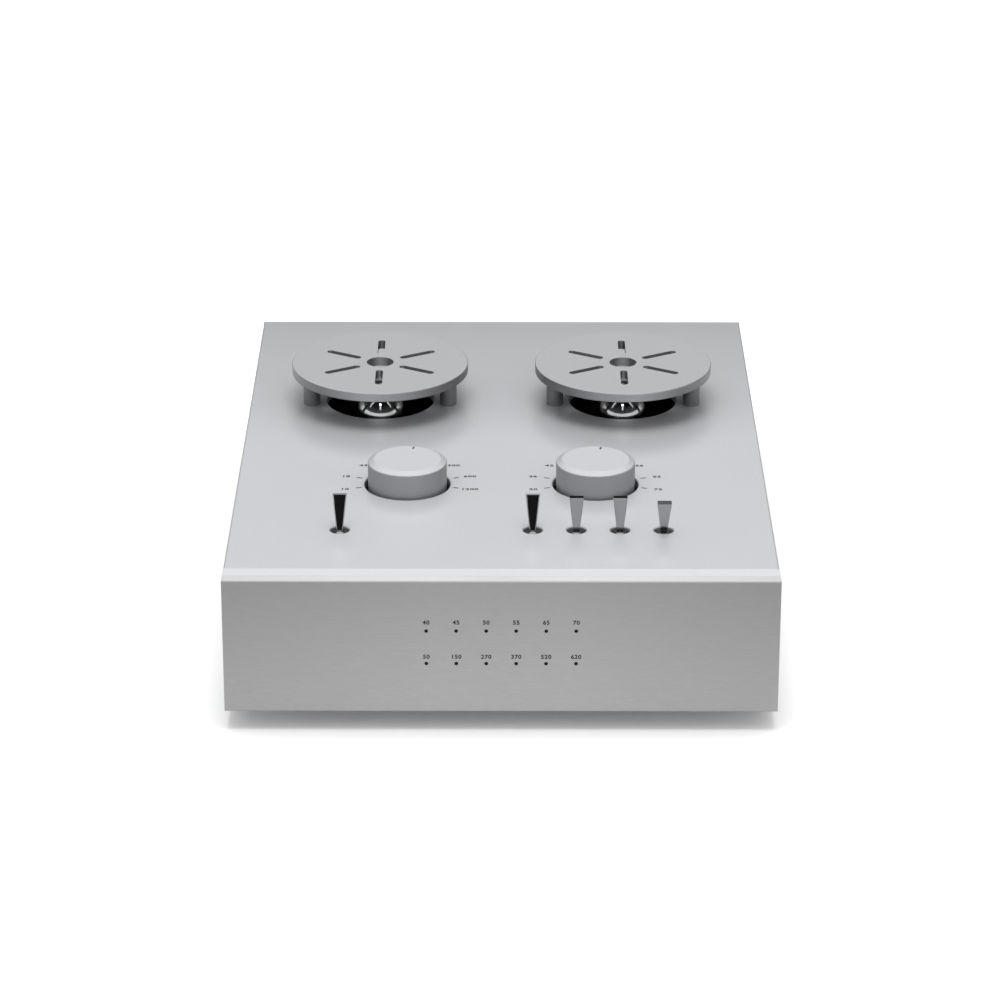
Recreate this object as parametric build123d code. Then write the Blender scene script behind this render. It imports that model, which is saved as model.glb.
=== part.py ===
"""Valve phono preamplifier: a low case with two shaded valves, two dials, five toggles and two light rows.

Millimetres. X to the right seen from the front, Y from the front face to the rear panel, Z up.
The origin is the middle of the whole object's bottom: the feet stand on z = 0.
Every separate piece is written as its own STEP file in parts/.
"""
from build123d import *
import math
import os

# ---- Case ---------------------------------------------------------------------------------------
body_width = 210.0
body_depth = 282.0
body_height = 54.0
cover_thickness = 3.0
base_thickness = 2.0
rear_panel_thickness = 3.0
fascia_thickness = 5.5
frame_depth = 6.4
frame_side_border = 16.0
frame_rail_border = 8.0
cover_edge_round = 0.8
face_edge_break = 0.35
base_fit_gap = 0.3
rail_screw_spacing = 115.5
rail_head_clearance = 0.6
fascia_screw_grip = 3.4

# ---- Feet ---------------------------------------------------------------------------------------
foot_height = 8.0
foot_diameter = 20.0
foot_side_inset = 28.0
foot_end_inset = 40.0
foot_recess_depth = 3.6
foot_recess_diameter = 9.0
foot_edge_break = 0.6

# ---- Screws -------------------------------------------------------------------------------------
screw_diameter = 3.0
screw_hole_gap = 0.15
pan_head_diameter = 5.6
pan_head_height = 2.0
pan_head_round = 0.7
flat_head_diameter = 5.8
flat_head_depth = 1.6
hex_key_size = 2.0
hex_key_depth = 1.1
case_screw_length = 10.0
board_screw_length = 5.0
long_screw_length = 8.0
blind_hole_spare = 0.8

# ---- Corner posts inside the case ---------------------------------------------------------------
post_section = 11.0
post_screw_end_inset = 12.0

# ---- Valves, their sockets and their shades -----------------------------------------------------
tube_spacing = 101.4
tube_row_setback = 187.7
tube_diameter = 22.2
tube_wall = 0.9
tube_button_thickness = 2.2
tube_shoulder_height = 31.0
tube_nub_height = 3.2
tube_nub_diameter = 4.4
tube_nub_tip_diameter = 1.8
tube_foot_round = 1.4
tube_pin_count = 9
tube_pin_circle = 11.9
tube_pin_diameter = 1.0
tube_pin_length = 6.8
socket_diameter = 23.0
socket_height = 8.0
socket_pin_gap = 0.15
socket_centre_bore = 4.8
tube_opening_diameter = 44.8
shade_diameter = 73.4
shade_thickness = 3.75
shade_top_height = 16.6
shade_hole_diameter = 11.3
shade_slot_count = 6
shade_slot_inner_radius = 9.6
shade_slot_outer_radius = 25.9
shade_slot_width = 3.0
shade_slot_start_angle = 30.0
shade_edge_round = 0.3
shade_post_diameter = 7.0
shade_post_side_offset = 28.5
shade_post_front_offset = 5.0
shade_post_slot_gap = 1.1
shade_rear_post_angle = 38.0
shade_stud_length = 2.4

# ---- Electrodes inside a valve ------------------------------------------------------------------
mica_wall_gap = 0.3
mica_thickness = 0.5
mica_floor_gap = 6.0
mica_shoulder_gap = 3.5
anode_offset = 4.5
anode_width = 5.2
anode_depth = 8.4
anode_round = 1.6
anode_fin_thickness = 0.6
anode_fin_depth = 13.6
cage_rod_diameter = 0.9
cage_rod_offset = 6.4
cage_rod_overshoot = 1.6
screen_thickness = 0.4
screen_depth = 16.4
getter_ring_height = 4.2
getter_ring_diameter = 6.4
getter_ring_bore = 3.2
getter_ring_thickness = 1.0
getter_wire_diameter = 0.8
getter_wire_offset = 2.6

# ---- Dials and rotary switches ------------------------------------------------------------------
dial_spacing = 74.6
dial_row_setback = 95.2
dial_diameter = 31.3
dial_top_height = 10.8
dial_chamfer_width = 2.4
dial_chamfer_height = 1.2
dial_chamfer_round = 0.6
dial_skirt_depth = 2.0
dial_rim_gap = 1.3
dial_bore_depth = 10.0
dial_bore_spare = 0.5
dial_mark_angle = 79.0
dial_mark_inner_radius = 10.2
dial_mark_outer_radius = 12.8
dial_mark_width = 0.7
dial_mark_depth = 0.3
set_screw_height = 5.0
set_screw_length = 8.0
shaft_diameter = 6.0
shaft_fit_gap = 0.05
rotary_diameter = 27.0
rotary_wall = 1.5
rotor_diameter = 20.0
rotor_thickness = 4.0
rotor_floor_gap = 0.3
bushing_diameter = 10.0
bushing_length = 7.0
bushing_nut_width = 14.0
bushing_nut_height = 2.5

# ---- Toggles ------------------------------------------------------------------------------------
toggle_row_setback = 49.0
power_toggle_x = -62.4
first_selector_x = 12.1
selector_spacing = 16.85
toggle_hole_gap = 0.575
toggle_bushing_diameter = 6.35
toggle_bushing_length = 8.9
toggle_pivot_drop = 1.2
toggle_mouth_break = 0.7
toggle_ball_diameter = 4.0
toggle_fit_gap = 0.05
toggle_chamber_diameter = 5.2
toggle_neck_diameter = 2.1
toggle_stem_length = 6.6
toggle_stem_end_diameter = 1.6
toggle_lever_length = 16.2
toggle_tip_width = 5.6
toggle_tip_thickness = 2.7
toggle_root_width = 2.5
toggle_root_thickness = 1.8
toggle_root_height = 1.8
toggle_neck_overlap = 0.4
toggle_corner_round = 0.5
toggle_tip_round = 0.15
toggle_housing_width = 7.0
toggle_housing_depth = 13.0
toggle_housing_wall = 1.0
toggle_nut_width = 8.0
toggle_nut_height = 2.0
toggle_tilt = 15.0

# ---- Control deck: bracket and board that carry the dials and toggles ---------------------------
bracket_drop = 5.6
bracket_thickness = 1.5
deck_half_width = 82.0
deck_front_margin = 10.0
deck_rear_margin = 20.0
pillar_diameter = 6.0
pillar_inset = 4.5
deck_board_depth = 10.4
deck_screw_head_gap = 1.0
board_thickness = 1.6

# ---- Main board ---------------------------------------------------------------------------------
standoff_height = 4.0
standoff_width = 5.5
main_board_post_gap = 2.0
main_board_front_setback = 58.0
main_board_rear_gap = 1.0
board_hole_inset = 5.0

# ---- Light rows in the fascia -------------------------------------------------------------------
light_count = 6
light_spacing = 11.3
light_upper_height = 33.6
light_lower_height = 20.1
light_diameter = 1.35
light_fit_gap = 0.05
light_tail = 1.2
light_air_gap = 0.2
emitter_width = 2.0
emitter_height = 1.3
emitter_depth = 1.1
light_board_margin = 6.0
light_board_standoff_diameter = 4.0

# ---- Flat cables and their headers --------------------------------------------------------------
ribbon_thickness = 0.9
ribbon_bend_radius = 2.6
ribbon_rear_run = 16.0
control_ribbon_width = 25.4
light_ribbon_width = 20.3
header_depth = 5.0
header_height = 5.0
header_overhang = 2.0
header_edge_gap = 1.0
header_deck_inset = 10.0

# ---- Electronics on the main board --------------------------------------------------------------
relay_count = 6
relay_width = 7.4
relay_depth = 14.0
relay_height = 10.0
relay_gap = 3.0
relay_edge_margin = 6.0
relay_jack_gap = 7.0
small_can_diameter = 10.0
small_can_height = 16.0
small_can_gap = 3.0
large_can_count = 3
large_can_diameter = 16.0
large_can_height = 20.0
large_can_gap = 2.0
large_can_inlet_gap = 11.0
large_can_rear_gap = 16.0
can_edge_round = 0.8
film_cap_count = 4
film_cap_width = 7.5
film_cap_depth = 18.0
film_cap_height = 13.0
film_cap_gap = 2.5
film_cap_sink_gap = 3.25
chip_count = 6
chip_width = 6.6
chip_depth = 9.6
chip_height = 3.6
chip_spacing = 24.0
chip_row_inset = 30.0
sink_count = 2
sink_width = 25.0
sink_depth = 12.0
sink_height = 21.0
sink_web = 2.0
sink_gap = 5.0
sink_edge_margin = 5.5
sink_deck_gap = 2.0
regulator_width = 10.0
regulator_height = 15.0
regulator_thickness = 4.4
inductor_diameter = 24.0
inductor_bore = 9.0
inductor_height = 11.0
inductor_edge_round = 2.0
inductor_edge_margin = 5.5
inductor_inlet_gap = 6.0

# ---- Rear panel ---------------------------------------------------------------------------------
jack_spacing = 19.0
jack_lower_height = 18.0
jack_edge_inset = 17.0
jack_pair_spacing = 44.0
jack_barrel_diameter = 8.3
jack_barrel_bore = 7.0
jack_barrel_reach = 10.0
jack_root_diameter = 7.9
jack_root_depth = 4.0
jack_seat_gap = 0.3
jack_edge_break = 0.3
jack_contact_bore = 3.2
jack_contact_floor = 2.0
jack_contact_diameter = 4.2
jack_insulator_recess = 1.0
jack_panel_gap = 0.6
jack_part_gap = 0.05
jack_housing_width = 16.0
jack_housing_depth = 14.0
jack_housing_top_margin = 7.0
jack_housing_round = 2.0
inlet_edge_inset = 23.0
inlet_width = 10.0
inlet_depth = 14.0
inlet_height = 11.0
inlet_axis_height = 6.4
inlet_nose_diameter = 9.4
inlet_nose_reach = 1.0
inlet_bore = 6.3
inlet_bore_depth = 9.5
inlet_pin_diameter = 2.1
inlet_pin_recess = 1.0
inlet_pin_round = 0.5
ground_height = 27.5
ground_stud_diameter = 5.0
ground_flange_diameter = 11.0
ground_flange_thickness = 2.0
ground_washer_diameter = 12.0
ground_washer_thickness = 1.2
ground_nut_diameter = 12.5
ground_nut_length = 7.0
ground_nut_travel = 3.2
ground_thread_gap = 0.05
ground_seat_gap = 0.1
ground_stud_spare = 0.3
ground_stud_break = 0.5
ground_nut_break = 0.6
ground_flute_count = 24
ground_flute_radius = 0.5
ground_flute_offset = 0.15
ground_tail = 5.0

# ---- Base plate vents ---------------------------------------------------------------------------
vent_count = 7
vent_width = 2.5
vent_length = 34.0
vent_spacing = 6.0

# ---- Places worked out from the sizes above -----------------------------------------------------
ground_stack = ground_flange_thickness + ground_washer_thickness + ground_nut_length
ground_reach = ground_stack + 2 * ground_seat_gap + ground_nut_travel + ground_stud_spare
rear_reach = max(jack_barrel_reach, ground_reach)
front_y = -(body_depth + rear_reach) / 2
back_y = front_y + body_depth
half_width = body_width / 2
bottom_z = foot_height
top_z = foot_height + body_height
under_cover_z = top_z - cover_thickness
floor_z = bottom_z + base_thickness
seam_y = front_y + fascia_thickness
cover_front_y = seam_y + frame_depth
cover_back_y = back_y - rear_panel_thickness
inner_half_width = half_width - cover_thickness

toggle_y = front_y + toggle_row_setback
dial_y = front_y + dial_row_setback
tube_y = front_y + tube_row_setback
dial_x_places = {"left": -dial_spacing / 2, "right": dial_spacing / 2}
tube_x_places = {"left": -tube_spacing / 2, "right": tube_spacing / 2}
toggle_x_places = {
    "power": power_toggle_x,
    "impedance": first_selector_x,
    "capacitance": first_selector_x + selector_spacing,
    "gain": first_selector_x + 2 * selector_spacing,
    "subsonic": first_selector_x + 3 * selector_spacing,
}
# Lean of each lever at rest: positive leans towards the rear.
toggle_lean = {
    "power": toggle_tilt,
    "impedance": toggle_tilt,
    "capacitance": 0.0,
    "gain": 0.0,
    "subsonic": -toggle_tilt,
}

screw_radius = screw_diameter / 2
screw_hole_radius = screw_radius + screw_hole_gap
post_x = inner_half_width - post_section / 2
post_y_places = [cover_front_y + post_section / 2, cover_back_y - post_section / 2]
post_screw_z_places = [floor_z + post_screw_end_inset, under_cover_z - post_screw_end_inset]
rail_screw_z_places = [bottom_z + frame_rail_border / 2, top_z - frame_rail_border / 2]
rail_head_room = pan_head_height + rail_head_clearance
rail_screw_seat_y = cover_front_y - rail_head_room
fascia_screw_length = rail_screw_seat_y - seam_y + fascia_screw_grip

bracket_top_z = under_cover_z - bracket_drop
bracket_bottom_z = bracket_top_z - bracket_thickness
deck_board_top_z = bracket_bottom_z - deck_board_depth
deck_board_bottom_z = deck_board_top_z - board_thickness
deck_front_y = toggle_y - deck_front_margin
deck_rear_y = dial_y + deck_rear_margin
pillar_x = deck_half_width - pillar_inset

main_board_half_width = inner_half_width - post_section - main_board_post_gap
main_board_bottom_z = floor_z + standoff_height
main_board_top_z = main_board_bottom_z + board_thickness
main_board_front_y = front_y + main_board_front_setback
main_board_back_y = cover_back_y - main_board_rear_gap

tube_radius = tube_diameter / 2
tube_inner_radius = tube_radius - tube_wall
seat_z = main_board_top_z + socket_height
shoulder_z = seat_z + tube_shoulder_height
tube_floor_z = seat_z + tube_button_thickness
mica_radius = tube_inner_radius - mica_wall_gap
lower_mica_z = tube_floor_z + mica_floor_gap
upper_mica_z = shoulder_z - mica_shoulder_gap
shade_top_z = top_z + shade_top_height
shade_bottom_z = shade_top_z - shade_thickness
shade_rear_post_radius = shade_slot_outer_radius + shade_post_slot_gap + shade_post_diameter / 2

dial_hole_radius = dial_diameter / 2 + dial_rim_gap
dial_bottom_z = top_z - dial_skirt_depth
dial_top_z = top_z + dial_top_height
dial_bore_top_z = dial_bottom_z + dial_bore_depth
set_screw_z = top_z + set_screw_height
rotor_low_z = deck_board_top_z + rotary_wall + rotor_floor_gap
toggle_hole_radius = toggle_bushing_diameter / 2 + toggle_hole_gap
toggle_bushing_top_z = bracket_bottom_z + toggle_bushing_length
toggle_pivot_z = toggle_bushing_top_z - toggle_pivot_drop

light_board_y = seam_y + light_tail + light_air_gap + emitter_depth
light_board_back_y = light_board_y + board_thickness
light_x_places = [(step - (light_count - 1) / 2) * light_spacing for step in range(light_count)]
light_upper_z = bottom_z + light_upper_height
light_lower_z = bottom_z + light_lower_height
light_board_half_width = light_x_places[-1] + light_board_margin
light_board_low_z = light_lower_z - light_board_margin
light_board_high_z = light_upper_z + light_board_margin
light_header_z = light_board_low_z + header_depth / 2 + header_edge_gap
deck_header_low_z = deck_board_bottom_z - header_height
light_deck_header_y = deck_front_y + header_deck_inset
control_deck_header_y = deck_rear_y - header_deck_inset
control_main_header_y = control_deck_header_y + ribbon_rear_run

input_jack_x = main_board_half_width - jack_edge_inset
output_jack_x = input_jack_x - jack_pair_spacing
jack_x_places = [input_jack_x, output_jack_x]
jack_lower_z = bottom_z + jack_lower_height
jack_z_places = [jack_lower_z, jack_lower_z + jack_spacing]
jack_shell_back_y = cover_back_y - jack_root_depth
jack_barrel_y = back_y + jack_seat_gap
jack_tip_y = back_y + jack_barrel_reach
jack_insulator_tip_y = jack_tip_y - jack_insulator_recess
inlet_x = -main_board_half_width + inlet_edge_inset
inlet_z = main_board_top_z + inlet_axis_height
inlet_nose_y = back_y + inlet_nose_reach
ground_x = (input_jack_x + output_jack_x) / 2
ground_z = bottom_z + ground_height
ground_washer_y = back_y + ground_flange_thickness + ground_seat_gap
ground_nut_y = ground_washer_y + ground_washer_thickness + ground_seat_gap

relay_y = cover_back_y - jack_housing_depth - relay_jack_gap - relay_depth / 2
last_relay_x = main_board_half_width - relay_edge_margin - relay_width / 2
large_can_y = cover_back_y - large_can_rear_gap - large_can_diameter / 2
first_large_can_x = inlet_x + inlet_width / 2 + large_can_inlet_gap + large_can_diameter / 2
sink_y = deck_rear_y + sink_deck_gap + sink_depth / 2
first_sink_x = -main_board_half_width + sink_edge_margin + sink_width / 2
sink_x_places = [first_sink_x + step * (sink_width + sink_gap) for step in range(sink_count)]
film_cap_y = sink_y + sink_depth / 2 + film_cap_sink_gap + film_cap_depth / 2
inductor_x = -main_board_half_width + inductor_edge_margin + inductor_diameter / 2
inductor_y = cover_back_y - inlet_depth - inductor_inlet_gap - inductor_diameter / 2


# ---- Small helpers ------------------------------------------------------------------------------
def block(x_low, x_high, y_low, y_high, z_low, z_high):
    middle = Pos((x_low + x_high) / 2, (y_low + y_high) / 2, (z_low + z_high) / 2)
    return middle * Box(x_high - x_low, y_high - y_low, z_high - z_low)


def upright(radius, x, y, z_low, z_high):
    """Round bar along Z."""
    return Pos(x, y, (z_low + z_high) / 2) * Cylinder(radius, z_high - z_low)


def along_y(radius, x, z, y_low, y_high):
    """Round bar along Y."""
    return Pos(x, (y_low + y_high) / 2, z) * Rot(90, 0, 0) * Cylinder(radius, y_high - y_low)


def edge_break(radius, x, y, z_top, size):
    """Cone that breaks the rim of a hole whose mouth faces up at z_top."""
    return Pos(x, y, z_top - size / 2) * Cone(radius, radius + size, size)


def four_corners(x_half, y_places):
    return [(side * x_half, y) for side in (-1, 1) for y in y_places]


def hex_socket(head_top):
    """Key recess cut down from head_top."""
    outline = RegularPolygon(hex_key_size / 2, 6, major_radius=False)
    return Pos(0, 0, head_top - hex_key_depth) * extrude(outline, amount=hex_key_depth)


def pan_screw(length):
    """Screw along -Z from its seat at the origin, with its round head above the seat."""
    head = Pos(0, 0, pan_head_height / 2) * Cylinder(pan_head_diameter / 2, pan_head_height)
    top_edges = head.edges().filter_by(GeomType.CIRCLE).sort_by(Axis.Z)[-1:]
    head = fillet(top_edges, pan_head_round)
    shank = Pos(0, 0, -length / 2) * Cylinder(screw_radius, length)
    return head + shank - hex_socket(pan_head_height)


def flat_screw(length):
    """Countersunk screw along -Z, its head flush with the origin."""
    head = Pos(0, 0, -flat_head_depth / 2) * Cone(screw_radius, flat_head_diameter / 2, flat_head_depth)
    shank_length = length - flat_head_depth
    shank = Pos(0, 0, -flat_head_depth - shank_length / 2) * Cylinder(screw_radius, shank_length)
    return head + shank - hex_socket(0)


def flat_screw_hole(length):
    """Room for flat_screw: the same form grown by the screw's clearance."""
    rim = flat_head_diameter / 2 + screw_hole_gap
    head = Pos(0, 0, -flat_head_depth / 2) * Cone(screw_hole_radius, rim, flat_head_depth)
    shank_length = length + blind_hole_spare - flat_head_depth
    shank = Pos(0, 0, -flat_head_depth - shank_length / 2) * Cylinder(screw_hole_radius, shank_length)
    return head + shank


facing_down = Rot(180, 0, 0)
facing_front = Rot(90, 0, 0)
facing_rear = Rot(-90, 0, 0)


def hex_nut(across_flats, height, bore_radius, x, y, z_low):
    outline = RegularPolygon(across_flats / 2, 6, major_radius=False) - Circle(bore_radius)
    return Pos(x, y, z_low) * extrude(outline, amount=height)


def flat_cable(route, width, x):
    """Flat cable that follows a route of (y, z) points in the plane x = 0, bent with one radius."""
    line = FilletPolyline(*route, radius=ribbon_bend_radius)
    band = trace(line, line_width=ribbon_thickness)
    return Pos(x, 0, 0) * (Plane.YZ * extrude(band, amount=width / 2, both=True))


# ---- Fastener places ----------------------------------------------------------------------------
foot_places = [
    (side * (half_width - foot_side_inset), y)
    for side in (-1, 1)
    for y in (front_y + foot_end_inset, back_y - foot_end_inset)
]
post_places = four_corners(post_x, post_y_places)
panel_screw_places = [(side * post_x, z) for side in (-1, 1) for z in post_screw_z_places]
rail_screw_places = [(side * rail_screw_spacing / 2, z) for side in (-1, 1) for z in rail_screw_z_places]
standoff_y_places = [
    main_board_front_y + board_hole_inset,
    (main_board_front_y + main_board_back_y) / 2,
    main_board_back_y - board_hole_inset,
]
standoff_places = four_corners(main_board_half_width - board_hole_inset, standoff_y_places)
pillar_places = four_corners(pillar_x, [deck_front_y + pillar_inset, deck_rear_y - pillar_inset])
light_standoff_places = [
    (side * (light_board_half_width - light_board_standoff_diameter / 2), (light_upper_z + light_lower_z) / 2)
    for side in (-1, 1)
]


def shade_post_places(tube_x):
    """Two posts beside the valve and two behind it, clear of the slot that points straight back."""
    turn = math.radians(shade_rear_post_angle)
    rear_side = shade_rear_post_radius * math.sin(turn)
    rear_y = tube_y + shade_rear_post_radius * math.cos(turn)
    places = []
    for side in (-1, 1):
        places.append((tube_x + side * shade_post_side_offset, tube_y - shade_post_front_offset))
        places.append((tube_x + side * rear_side, rear_y))
    return places


all_shade_post_places = [place for x in tube_x_places.values() for place in shade_post_places(x)]


# ---- Case ---------------------------------------------------------------------------------------
def top_cover():
    """Top and both sides in one folded plate, open at the front, rear and bottom."""
    shell = block(-half_width, half_width, cover_front_y, cover_back_y, bottom_z, top_z)
    long_edges = shell.edges().filter_by(Axis.Y).group_by(Axis.Z)[-1]
    shell = fillet(long_edges, cover_edge_round)
    shell -= block(-inner_half_width, inner_half_width, cover_front_y, cover_back_y, bottom_z, under_cover_z)
    for x in tube_x_places.values():
        shell -= upright(tube_opening_diameter / 2, x, tube_y, under_cover_z, top_z)
        shell -= edge_break(tube_opening_diameter / 2, x, tube_y, top_z, face_edge_break)
    for x in dial_x_places.values():
        shell -= upright(dial_hole_radius, x, dial_y, under_cover_z, top_z)
        shell -= edge_break(dial_hole_radius, x, dial_y, top_z, face_edge_break)
    for x in toggle_x_places.values():
        shell -= upright(toggle_hole_radius, x, toggle_y, under_cover_z, top_z)
        shell -= edge_break(toggle_hole_radius, x, toggle_y, top_z, face_edge_break)
    for x, y in all_shade_post_places:
        shell -= upright(screw_hole_radius, x, y, under_cover_z, top_z)
    return shell


def base_plate():
    side = inner_half_width - base_fit_gap
    plate = block(-side, side, cover_front_y + base_fit_gap, cover_back_y - base_fit_gap, bottom_z, floor_z)
    for x, y in post_places:
        plate -= Pos(x, y, bottom_z) * facing_down * flat_screw_hole(case_screw_length)
    for x, y in foot_places:
        plate -= upright(screw_hole_radius, x, y, bottom_z, floor_z)
    slot = Rot(0, 0, 90) * SlotOverall(vent_length, vent_width)
    for x in tube_x_places.values():
        for step in range(vent_count):
            offset = (step - (vent_count - 1) / 2) * vent_spacing
            plate -= Pos(x + offset, tube_y, bottom_z) * extrude(slot, amount=base_thickness)
    return plate


def front_frame():
    """Ring behind the fascia that closes the front of the cover."""
    ring = block(-half_width, half_width, seam_y, cover_front_y, bottom_z, top_z)
    window_side = half_width - frame_side_border
    ring -= block(
        -window_side, window_side, seam_y, cover_front_y,
        bottom_z + frame_rail_border, top_z - frame_rail_border,
    )
    for x, z in panel_screw_places:
        ring -= Pos(x, seam_y, z) * facing_front * flat_screw_hole(case_screw_length)
    for x, z in rail_screw_places:
        ring -= along_y(screw_hole_radius, x, z, seam_y, cover_front_y)
        ring -= along_y(pan_head_diameter / 2 + screw_hole_gap, x, z, rail_screw_seat_y, cover_front_y)
    return ring


def front_fascia():
    plate = block(-half_width, half_width, front_y, seam_y, bottom_z, top_z)
    plate = chamfer(plate.faces().sort_by(Axis.Y)[0].edges(), face_edge_break)
    for x in light_x_places:
        for z in (light_upper_z, light_lower_z):
            plate -= along_y(light_diameter / 2 + light_fit_gap, x, z, front_y, seam_y)
    for x, z in rail_screw_places:
        plate -= along_y(screw_hole_radius, x, z, seam_y - fascia_screw_grip - blind_hole_spare / 2, seam_y)
    return plate


def rear_panel():
    plate = block(-half_width, half_width, cover_back_y, back_y, bottom_z, top_z)
    plate = chamfer(plate.faces().sort_by(Axis.Y)[-1].edges(), face_edge_break)
    for x, z in panel_screw_places:
        plate -= Pos(x, back_y, z) * facing_rear * flat_screw_hole(case_screw_length)
    for x in jack_x_places:
        for z in jack_z_places:
            plate -= along_y(jack_barrel_diameter / 2 + jack_panel_gap, x, z, cover_back_y, back_y)
    plate -= along_y(inlet_nose_diameter / 2 + jack_panel_gap, inlet_x, inlet_z, cover_back_y, back_y)
    plate -= along_y(ground_stud_diameter / 2, ground_x, ground_z, cover_back_y, back_y)
    return plate


def corner_post(x, y):
    """Square bar welded under the cover, threaded at its foot and across its two heights."""
    bar = block(
        x - post_section / 2, x + post_section / 2, y - post_section / 2, y + post_section / 2,
        floor_z, under_cover_z,
    )
    bar -= Pos(x, y, bottom_z) * facing_down * flat_screw_hole(case_screw_length)
    for z in post_screw_z_places:
        if y < tube_y:
            bar -= Pos(x, seam_y, z) * facing_front * flat_screw_hole(case_screw_length)
        else:
            bar -= Pos(x, back_y, z) * facing_rear * flat_screw_hole(case_screw_length)
    return bar


def case_screws():
    """Twelve alike: through the base, the rear panel and the frame into the corner posts."""
    screw = flat_screw(case_screw_length)
    base = [Pos(x, y, bottom_z) * facing_down * screw for x, y in post_places]
    rear = [Pos(x, back_y, z) * facing_rear * screw for x, z in panel_screw_places]
    front = [Pos(x, seam_y, z) * facing_front * screw for x, z in panel_screw_places]
    return base + rear + front


def fascia_screws():
    screw = pan_screw(fascia_screw_length)
    return [Pos(x, rail_screw_seat_y, z) * facing_rear * screw for x, z in rail_screw_places]


def foot(x, y):
    body = upright(foot_diameter / 2, x, y, 0, foot_height)
    rims = body.edges().filter_by(GeomType.CIRCLE)
    body = chamfer(rims, foot_edge_break)
    body -= upright(foot_recess_diameter / 2, x, y, 0, foot_recess_depth)
    return body - upright(screw_hole_radius, x, y, foot_recess_depth, foot_height)


def rising_screws(places, seat):
    """Alike, driven upwards from their seat: through the feet, and through the cover into the shade posts."""
    screw = facing_down * pan_screw(long_screw_length)
    return [Pos(x, y, seat) * screw for x, y in places]


# ---- Main board and what it carries -------------------------------------------------------------
def main_board():
    plate = block(
        -main_board_half_width, main_board_half_width, main_board_front_y, main_board_back_y,
        main_board_bottom_z, main_board_top_z,
    )
    for x, y in standoff_places:
        plate -= upright(screw_hole_radius, x, y, main_board_bottom_z, main_board_top_z)
    return plate


def main_board_standoffs():
    return [
        hex_nut(standoff_width, standoff_height, screw_hole_radius, x, y, floor_z)
        for x, y in standoff_places
    ]


def board_screws():
    """Alike: down through the main board, and up through the bracket into its pillars."""
    screw = pan_screw(board_screw_length)
    main = [Pos(x, y, main_board_top_z) * screw for x, y in standoff_places]
    bracket = [Pos(x, y, bracket_bottom_z) * facing_down * screw for x, y in pillar_places]
    return main + bracket


def on_board(x, y, width, depth, height):
    """Box-shaped component that stands on the main board, centred on x and y."""
    low_z = main_board_top_z
    return block(x - width / 2, x + width / 2, y - depth / 2, y + depth / 2, low_z, low_z + height)


def relays():
    """Row that starts at the right edge of the board, behind the input jacks."""
    pitch = relay_width + relay_gap
    places = [last_relay_x - step * pitch for step in range(relay_count)]
    return [on_board(x, relay_y, relay_width, relay_depth, relay_height) for x in places]


def can(diameter, height, x, y):
    body = upright(diameter / 2, x, y, main_board_top_z, main_board_top_z + height)
    return fillet(body.edges().filter_by(GeomType.CIRCLE), can_edge_round)


def can_capacitors():
    """Electrolytic cans: four small ones between the valves and a row of large ones by the inlet."""
    offset = (small_can_diameter + small_can_gap) / 2
    small_places = [(column * offset, tube_y + row * offset) for row in (-1, 1) for column in (-1, 1)]
    pitch = large_can_diameter + large_can_gap
    large_x_places = [first_large_can_x + step * pitch for step in range(large_can_count)]
    small = [can(small_can_diameter, small_can_height, x, y) for x, y in small_places]
    large = [can(large_can_diameter, large_can_height, x, large_can_y) for x in large_x_places]
    return small + large


def film_capacitors():
    """A row of boxes in front of each valve."""
    caps = []
    for middle in tube_x_places.values():
        for step in range(film_cap_count):
            x = middle + (step - (film_cap_count - 1) / 2) * (film_cap_width + film_cap_gap)
            caps.append(on_board(x, film_cap_y, film_cap_width, film_cap_depth, film_cap_height))
    return caps


def chips():
    y = main_board_front_y + chip_row_inset
    x_places = [(step - (chip_count - 1) / 2) * chip_spacing for step in range(chip_count)]
    return [on_board(x, y, chip_width, chip_depth, chip_height) for x in x_places]


def heat_sinks():
    """Upright channels: a web with two fins towards the front."""
    sinks = []
    for x in sink_x_places:
        channel = on_board(x, sink_y, sink_width, sink_depth, sink_height)
        inner = on_board(x, sink_y - sink_web, sink_width - 2 * sink_web, sink_depth, sink_height)
        sinks.append(channel - inner)
    return sinks


def regulators():
    """Power regulators bolted against the webs of the heat sinks."""
    y = sink_y + sink_depth / 2 - sink_web - regulator_thickness / 2
    return [on_board(x, y, regulator_width, regulator_thickness, regulator_height) for x in sink_x_places]


def inductor():
    """Wound ring that lies on the board in front of the inlet."""
    high_z = main_board_top_z + inductor_height
    ring = upright(inductor_diameter / 2, inductor_x, inductor_y, main_board_top_z, high_z)
    ring -= upright(inductor_bore / 2, inductor_x, inductor_y, main_board_top_z, high_z)
    return fillet(ring.edges().filter_by(GeomType.CIRCLE), inductor_edge_round)


# ---- Valves -------------------------------------------------------------------------------------
def pin_angles():
    step = 360 / (tube_pin_count + 1)
    return [-90 + step * (number + 1) for number in range(tube_pin_count)]


def tube_pin_places(tube_x):
    circle = tube_pin_circle / 2
    places = []
    for angle in pin_angles():
        turn = math.radians(angle)
        places.append((tube_x + circle * math.cos(turn), tube_y + circle * math.sin(turn)))
    return places


def tube_glass(x):
    """Sealed envelope: a thick button, a straight wall, a domed top and the nub left by sealing."""
    outer = upright(tube_radius, x, tube_y, seat_z, shoulder_z)
    outer = fillet(outer.edges().filter_by(GeomType.CIRCLE).sort_by(Axis.Z)[:1], tube_foot_round)
    outer += Pos(x, tube_y, shoulder_z) * Sphere(tube_radius)
    nub_low = shoulder_z + tube_radius - tube_wall / 2
    nub_high = shoulder_z + tube_radius + tube_nub_height
    nub = Cone(tube_nub_diameter / 2, tube_nub_tip_diameter / 2, nub_high - nub_low)
    outer += Pos(x, tube_y, (nub_low + nub_high) / 2) * nub
    inner = upright(tube_inner_radius, x, tube_y, tube_floor_z, shoulder_z)
    inner += Pos(x, tube_y, shoulder_z) * Sphere(tube_inner_radius)
    return outer - inner


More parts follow.
